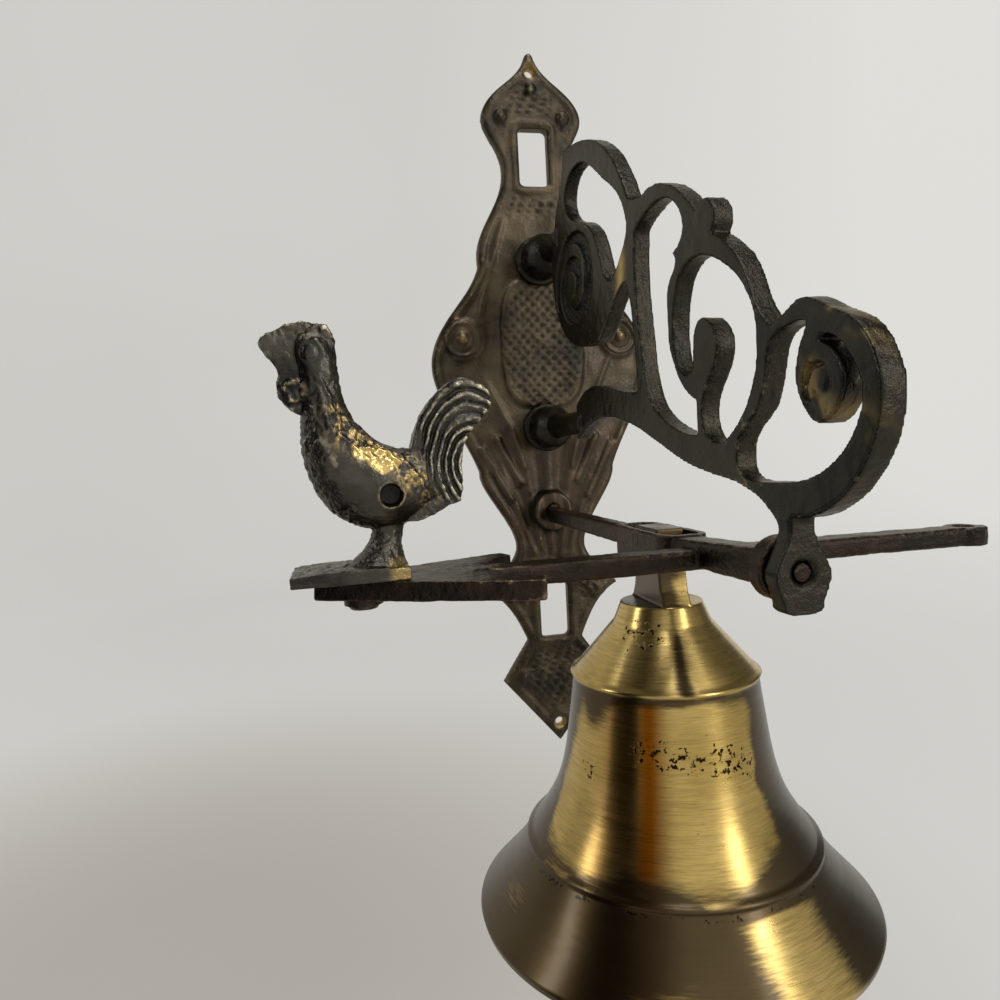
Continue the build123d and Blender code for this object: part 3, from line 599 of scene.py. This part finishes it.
def bell_brass():
    """Brushed brass, with a brown lacquer by the patina layer, which also carries painted light and shade on
    the tab and a painted dark reflection on the shoulder; a painted amber reflection; and pits.
    """
    made, tree, shader, place = material("bell_brass")
    lines = tree.noise(tree.stretch(place, 150, 150, 4200), 1, 3, 0.75)
    short = tree.noise(tree.stretch(place, 190, 190, 2600), 1, 3, 0.7)
    broad = tree.noise(tree.stretch(place, 20, 20, 600), 1, 3, 0.6)
    cloud = tree.noise(place, 34, 4, 0.6)
    patina = tree.jitter(tree.attribute("patina"), short, 0.6)
    patina = tree.jitter(patina, cloud, 0.6)
    patina = tree.ramp(patina, (0.24, 0.0), (0.76, 1.0), smooth=True)
    gold = tree.mix(tree.ramp(cloud, (0.36, 0.0), (0.66, 1.0)), *BELL_GOLDS)
    stroke = tree.ramp(lines, (0.42, 0.0), (0.7, 1.0))
    gold = tree.mix(tree.math("MULTIPLY", stroke, 0.62), gold, (0.22, 0.15, 0.055))
    brown = tree.mix(lines, (0.018, 0.011, 0.006), (0.085, 0.057, 0.028))
    colour = tree.mix(tree.math("MULTIPLY", patina, 0.93), gold, brown)
    # painted reflection: the amber stripe is multiplied into the colour
    colour = tree.mix(tree.attribute("painted_amber_reflection"), colour, (0.50, 0.21, 0.02), blend="MULTIPLY")
    spots = tree.noise(place, 760, 2.5, 0.6)
    spots = tree.math("ADD", spots, tree.math("MULTIPLY", tree.attribute("pit"), 0.3))
    pit = tree.ramp(spots, (0.85, 0.0), (0.895, 1.0))
    colour = tree.mix(pit, colour, (0.022, 0.012, 0.006))
    tree.put(shader.inputs["Base Color"], colour)
    shader.inputs["Metallic"].default_value = 1.0
    shader.inputs["Anisotropic"].default_value = 0.75
    shader.inputs["Anisotropic Rotation"].default_value = 0.25
    rough = tree.math("ADD", 0.22, tree.math("MULTIPLY", broad, 0.12))
    tree.put(shader.inputs["Roughness"], tree.math("ADD", rough, tree.math("MULTIPLY", patina, 0.08)))
    tree.put(shader.inputs["Coat Weight"], tree.math("MULTIPLY", patina, 0.22))
    shader.inputs["Coat Roughness"].default_value = 0.16
    tangent = tree.node("ShaderNodeTangent", direction_type="RADIAL", axis="Z").outputs[0]
    tree.put(shader.inputs["Tangent"], tangent)
    scratches = tree.bump(lines, 0.3, 0.00008)
    tree.put(shader.inputs["Normal"], tree.bump(pit, 0.8, 0.0005, scratches, invert=True))
    return made


def bell_rings(surface, outside):
    """Radii of the bell's outer or inner surface by height, found by rays square to its axis."""
    if outside:
        heights = np.concatenate((np.arange(-15.25, -88.8, -0.36), (-88.9, -88.97)))
        start, heading = 0.08, Vector((-1, 0, 0))
    else:
        heights = np.concatenate(((-88.97, -88.6, -88.0), np.arange(-87.4, -22.7, 1.1)))
        start, heading = 0.0101, Vector((1, 0, 0))
    rings = []
    for height in heights:
        hit = surface.ray_cast(Vector((start, -BELL_OUT * MM, height * MM)), heading, 0.2)[0]
        if hit is not None and hit.x > 0:
            rings.append((hit.x * PER_METRE, float(height)))
    return rings


def turned_bell(outer, inner):
    """The bell's body as a mesh turned from its rings: down the outside, round the rim and up the inside."""
    rows = np.array([(0.01, outer[0][1] + 0.05)] + outer + inner + [(0.01, inner[-1][1] + 0.6)])
    angles = np.linspace(0, 2 * math.pi, BELL_SEGMENTS, endpoint=False)
    verts = np.empty((len(rows), BELL_SEGMENTS, 3))
    verts[:, :, 0] = rows[:, 0, None] * np.cos(angles)
    verts[:, :, 1] = rows[:, 0, None] * np.sin(angles) - BELL_OUT
    verts[:, :, 2] = rows[:, 1, None]
    faces = []
    for row in range(len(rows) - 1):
        base, below = row * BELL_SEGMENTS, (row + 1) * BELL_SEGMENTS
        for step in range(BELL_SEGMENTS):
            after = (step + 1) % BELL_SEGMENTS
            faces.append((base + step, below + step, below + after, base + after))
    mesh = bpy.data.meshes.new("bell_turned")
    mesh.from_pydata((verts.reshape(-1, 3) * MM).tolist(), [], faces)
    mesh.update()
    made = bpy.data.objects.new("bell_turned", mesh)
    scene.collection.objects.link(made)
    return made


def lacquer_bell(mesh, outer_points):
    """Writes where the bell's lacquer is whole or pitted, where a painted amber reflection lies and where a
    painted dark reflection darkens the shoulder. The first outer_points lie outside.
    """
    points = points_of(mesh)
    turn = np.degrees(np.arctan2(points[:, 1] + BELL_OUT, points[:, 0]) - PHOTO_SIDE)
    turn = (turn + 180) % 360 - 180
    z = points[:, 2]
    outside = np.zeros(len(points))
    outside[:outer_points] = 1
    ripple = 5 * lumps(points, 12.0) + 3 * lumps(points, 5.0, 2.0)
    # the lacquer is rubbed away to gold on the waist and the shoulder, in patches on the flare and on edges
    strips = smoothstep(-72, -52, turn + ripple) * smoothstep(60, 44, turn + ripple + 0.25 * (z + 50))
    strips += smoothstep(150, 160, np.abs(turn + ripple))
    strips += smoothstep(92, 98, turn + ripple) * smoothstep(140, 130, turn + ripple)
    low = -67.5 + 0.3 * ripple + 4.5 * smoothstep(24, 46, turn) - 2.0 * hill(turn, 12, 14)
    corners = 0.85 * hill(turn, -46, 16) + 0.5 * hill(turn, 44, 14)
    top = 1 - 1.1 * smoothstep(-46, -34, z + 0.3 * ripple) * corners
    waist = strips * smoothstep(low - 6, low + 4, z) * smoothstep(-31.5, -36.5, z + 0.2 * ripple) * top
    shoulder = smoothstep(-32.4, -31.6, z)
    flare = hill(turn + 0.4 * ripple, 38, 13) * smoothstep(-73, -75, z)
    flare += 0.5 * hill(turn, -2, 16) * smoothstep(-78, -87, z)
    flare += 0.3 * hill(turn, -62, 12) * hill(z, -80, 5)
    edges = 0.8 * hill(z, -32.0, 0.6)
    edges += 0.25 * hill(z, -71.2, 0.5) * smoothstep(0, 0.6, lumps(points, 3.0, 8.0))
    rubbed = np.clip(waist + shoulder + flare + edges, 0, 1)
    # painted reflection: a dark olive streak on the shoulder at one heading, laid in as thicker lacquer
    painted_dark_reflection = shoulder * hill(turn + 0.3 * ripple, 14, 6) * smoothstep(-19, -22, z)
    put_attribute(mesh, "patina", np.clip(1 - rubbed + 0.7 * painted_dark_reflection, 0, 1) * outside + 0.75 * (1 - outside))
    # painted reflection: an amber stripe down the waist at two headings on the shown side, fainter on the
    # flare
    painted_amber_reflection = (0.95 * hill(turn, -9, 7) + 0.5 * hill(turn, -26, 12)) * smoothstep(-32.5, -34, z)
    put_attribute(mesh, "painted_amber_reflection", outside * painted_amber_reflection * (0.5 + 0.5 * smoothstep(-72, -66, z)))
    # pits: a band across the waist, the collar, the bead and some on the sides that the photo doesn't show
    band = hill(z, -44.5 - 0.07 * turn + 0.2 * ripple, 3.6)
    band = band * smoothstep(-28, -12, turn) * smoothstep(58, 42, turn)
    band += 0.8 * hill(z, -51, 3) * hill(turn, -46, 8)
    rings = 1.4 * hill(z, -20.6, 2.6) * smoothstep(-50, -38, turn) * smoothstep(8, -4, turn)
    rings += 0.9 * hill(z, -73.2, 0.6) * smoothstep(-0.5, 0.3, lumps(points, 3.0, 8.0))
    elsewhere = smoothstep(100, 120, np.abs(turn)) * hill(z, -50 + 0.6 * ripple, 3.5)
    elsewhere = elsewhere * smoothstep(0.1, 0.5, lumps(points, 9, 3))
    put_attribute(mesh, "pit", outside * np.clip(band + 1.1 * rings + elsewhere + 0.35, 0, 1.1) / 1.1)


def bell_tab(cad):
    """The bell's tab, cut from the solid above the collar, with painted light and shade: one half bright
    gold, the other dark.
    """
    whole = cad.verts[:] + cad.edges[:] + cad.faces[:]
    bmesh.ops.bisect_plane(cad, geom=whole, plane_co=(0, 0, COLLAR_TOP * MM), plane_no=(0, 0, 1),
                           clear_inner=True)
    bmesh.ops.holes_fill(cad, edges=[edge for edge in cad.edges if edge.is_boundary])
    made = grid_skin("bell_tab", cad, 0.3)
    points = points_of(made.data)
    # painted light and shade: below its top the tab's +X half is made bright gold and its -X half stays dark
    # lacquer
    painted_lit_side = smoothstep(-2.5, 2.5, points[:, 0] + 0.5 * lumps(points, 2.0)) * smoothstep(-3, -12, points[:, 2])
    put_attribute(made.data, "patina", 0.95 - 0.75 * painted_lit_side)
    return made


def dress_bell():
    cad = welded(nodes["bell"].data)
    surface = BVHTree.FromBMesh(cad)
    outer = bell_rings(surface, True)
    inner = bell_rings(surface, False)
    turned = turned_bell(outer, inner)
    lacquer_bell(turned.data, (len(outer) + 1) * BELL_SEGMENTS)
    tab = bell_tab(cad)
    paint = bell_brass()
    for piece in (turned, tab):
        paint_piece(piece, paint)
        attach(piece, "bell")
        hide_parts("bell")


dress_plate()
dress_bracket()
dress_rocker()
dress_rooster()
dress_bell()

# Small parts that stay as the solids are
brass = antique_bronze("clapper_brass", (0.12, 0.085, 0.035), (0.36, 0.26, 0.11), (0.55, 0.42, 0.2),
                       shine=0.38, grit=0.5)
steel = antique_bronze("screw_steel", (0.16, 0.16, 0.165), (0.34, 0.34, 0.35), (0.5, 0.5, 0.5),
                       red=(0.2, 0.18, 0.16), shine=0.36, grit=0.3)
small_parts = {
    "rooster_washer": lever_bronze, "bell_pin": lever_bronze, "clapper_staple": brass, "clapper_rod": brass,
    "clapper_ball": brass, "upper_bracket_screw": steel, "lower_bracket_screw": steel,
}
for name, paint in small_parts.items():
    nodes[name].data.materials.clear()
    nodes[name].data.materials.append(paint)


# Stage: a pale floor that sweeps up into a backdrop. Its lengths are in metres
FLOOR_Z = -0.2
SWEEP_PALES = ((0.66, 0.65, 0.62), (0.70, 0.69, 0.66))
# painted light: the backdrop is made paler towards +X
SWEEP_PAINTED_LIGHT = (0.84, 0.835, 0.80)
# painted shadow: a soft darker patch on the floor, darkest at the point below
SWEEP_PAINTED_SHADOW = (0.36, 0.32, 0.27)
SWEEP_PAINTED_SHADOW_AT = (-0.16, 0.08, FLOOR_Z)


def sweep_paint():
    """Matt pale paint, which the camera and the metal see paler than the light that it gives off. It has
    painted light, paler towards +X, and a painted soft shadow on the floor left of the object.
    """
    paint, tree, shader, place = material("sweep_paint")
    shader.inputs["Base Color"].default_value = (0.60, 0.59, 0.56, 1)
    shader.inputs["Roughness"].default_value = 0.9
    path = tree.node("ShaderNodeLightPath").outputs
    seen = tree.math("MAXIMUM", path["Is Glossy Ray"], path["Is Transmission Ray"])
    seen = tree.math("MAXIMUM", path["Is Camera Ray"], seen)
    haze = tree.noise(place, 1.1, 2, 0.4)
    pale = tree.mix(tree.ramp(haze, (0.35, 0.0), (0.65, 1.0)), *SWEEP_PALES)
    where = tree.node("ShaderNodeSeparateXYZ", {0: place}).outputs
    # painted light: the sweep pales towards +X
    rightward = tree.scale_and_shift(where["X"], 0.25, 0.5)
    pale = tree.mix(tree.ramp(rightward, (0.53, 0.0), (0.85, 1.0)), pale, SWEEP_PAINTED_LIGHT)
    # painted shadow: the floor darkens towards a point left of the object
    far = tree.node("ShaderNodeVectorMath", {0: place, 1: SWEEP_PAINTED_SHADOW_AT}, operation="DISTANCE")
    painted_shadow = tree.ramp(far.outputs["Value"], (0.05, 0.75), (0.42, 0.0), smooth=True)
    pale = tree.mix(painted_shadow, pale, SWEEP_PAINTED_SHADOW)
    glow = tree.node("ShaderNodeEmission", {"Color": pale, "Strength": 1.0}).outputs[0]
    share = {0: tree.math("MULTIPLY", seen, 0.8), 1: shader.outputs[0], 2: glow}
    surface = paint.node_tree.nodes["Material Output"].inputs["Surface"]
    tree.put(surface, tree.node("ShaderNodeMixShader", share).outputs[0])
    return paint


def stage_sweep():
    far_y, near_y, half, bend, top = 1.6, -1.6, 2.4, 0.5, 2.6
    profile = [(near_y, FLOOR_Z), (far_y - bend, FLOOR_Z)]
    for step in range(1, 17):
        angle = math.radians(90 * step / 16)
        profile.append((far_y - bend + bend * math.sin(angle), FLOOR_Z + bend * (1 - math.cos(angle))))
    profile.append((far_y, top))
    verts = [(x, y, z) for y, z in profile for x in (-half, half)]
    faces = [(2 * i, 2 * i + 1, 2 * i + 3, 2 * i + 2) for i in range(len(profile) - 1)]
    mesh = bpy.data.meshes.new("sweep")
    mesh.from_pydata(verts, [], faces)
    sweep = bpy.data.objects.new("sweep", mesh)
    scene.collection.objects.link(sweep)
    paint_piece(sweep, sweep_paint())


def dark_card(name, first, last):
    """A curved black card beside the object, seen only by its gloss: it gives the metal its dark bands.

    It stands between two headings, in degrees about a point 0.1 m out from the wall. A strip on the floor
    joins it, because the bell mirrors the floor as well.
    """
    steps, near, reach, low, high = 10, 0.1, 0.85, FLOOR_Z + 0.003, 1.3
    verts = []
    for step in range(steps + 1):
        angle = math.radians(first + (last - first) * step / steps)
        for far, height in ((near, low), (reach, low), (reach, high)):
            verts.append((far * math.cos(angle), far * math.sin(angle) - 0.1, height))
    faces = [(3 * i + j, 3 * i + j + 3, 3 * i + j + 4, 3 * i + j + 1) for i in range(steps) for j in (0, 1)]
    mesh = bpy.data.meshes.new(name)
    mesh.from_pydata(verts, [], faces)
    paint, _, shader, _ = material(name)
    shader.inputs["Base Color"].default_value = (0.004, 0.004, 0.004, 1)
    shader.inputs["Roughness"].default_value = 1.0
    mesh.materials.append(paint)
    card = bpy.data.objects.new(name, mesh)
    card.visible_camera = card.visible_diffuse = card.visible_shadow = card.visible_transmission = False
    scene.collection.objects.link(card)


def lamp(name, at, aim, size, power):
    """A white rectangular lamp at a place, turned to the point that it lights. Metres and watts."""
    data = bpy.data.lights.new(name, "AREA")
    data.shape = "RECTANGLE"
    data.size, data.size_y = size
    data.energy = power
    made = bpy.data.objects.new(name, data)
    made.location = at
    made.rotation_euler = (Vector(aim) - Vector(at)).to_track_quat("-Z", "Y").to_euler()
    scene.collection.objects.link(made)


stage_sweep()
dark_card("left_card", -178, -144)
lamp("key", (0.56, -0.92, 0.42), (0, -0.09, -0.03), (0.16, 0.7), 2.6)
lamp("fill", (-0.95, 0.0, 0.5), (-0.04, -0.1, 0), (0.14, 0.4), 1.4)
lamp("top", (0.1, -0.35, 0.95), (0, -0.08, 0), (0.4, 0.4), 3)

# World: soft light, dimmer where the photo's room was dark. ROOM_LIGHT gives greys by heading, in degrees
# from +X towards +Y, and SEEN_WORLD is what the camera sees past the stage
ROOM_LIGHT = (
    (-178, 0.34), (-173, 0.02), (-145, 0.012), (-138, 0.3), (-118, 0.45), (-108, 0.85), (-60, 0.95),
    (-20, 0.5), (4, 0.12), (60, 0.15), (110, 0.2), (122, 0.4), (176, 0.38),
)
SKY_SHARE = (0.45, 0.45, 0.45)
LIGHT_TINT = (1.0, 0.985, 0.95)
SEEN_WORLD = (0.68, 0.675, 0.64)


def studio_world():
    world = bpy.data.worlds.new("studio")
    world.use_nodes = True
    tree = Tree(world.node_tree)
    background = world.node_tree.nodes["Background"]
    facing = tree.node("ShaderNodeTexCoord").outputs["Generated"]
    parts = tree.node("ShaderNodeSeparateXYZ", {0: facing}).outputs
    heading = tree.math("ARCTAN2", parts["Y"], parts["X"])
    heading = tree.scale_and_shift(heading, 1 / (2 * math.pi), 0.5)
    light = tree.ramp(heading, *(((degrees + 180) / 360, grey) for degrees, grey in ROOM_LIGHT))
    overhead = tree.ramp(parts["Z"], (0.5, 0.0), (0.92, 1.0))
    light = tree.mix(overhead, light, tree.mix(1.0, light, SKY_SHARE, blend="MULTIPLY"))
    light = tree.mix(1.0, light, LIGHT_TINT, blend="MULTIPLY")
    seen = tree.node("ShaderNodeLightPath").outputs["Is Camera Ray"]
    tree.put(background.inputs["Color"], tree.mix(seen, light, SEEN_WORLD))
    background.inputs["Strength"].default_value = 1.0
    return world


scene.world = studio_world()
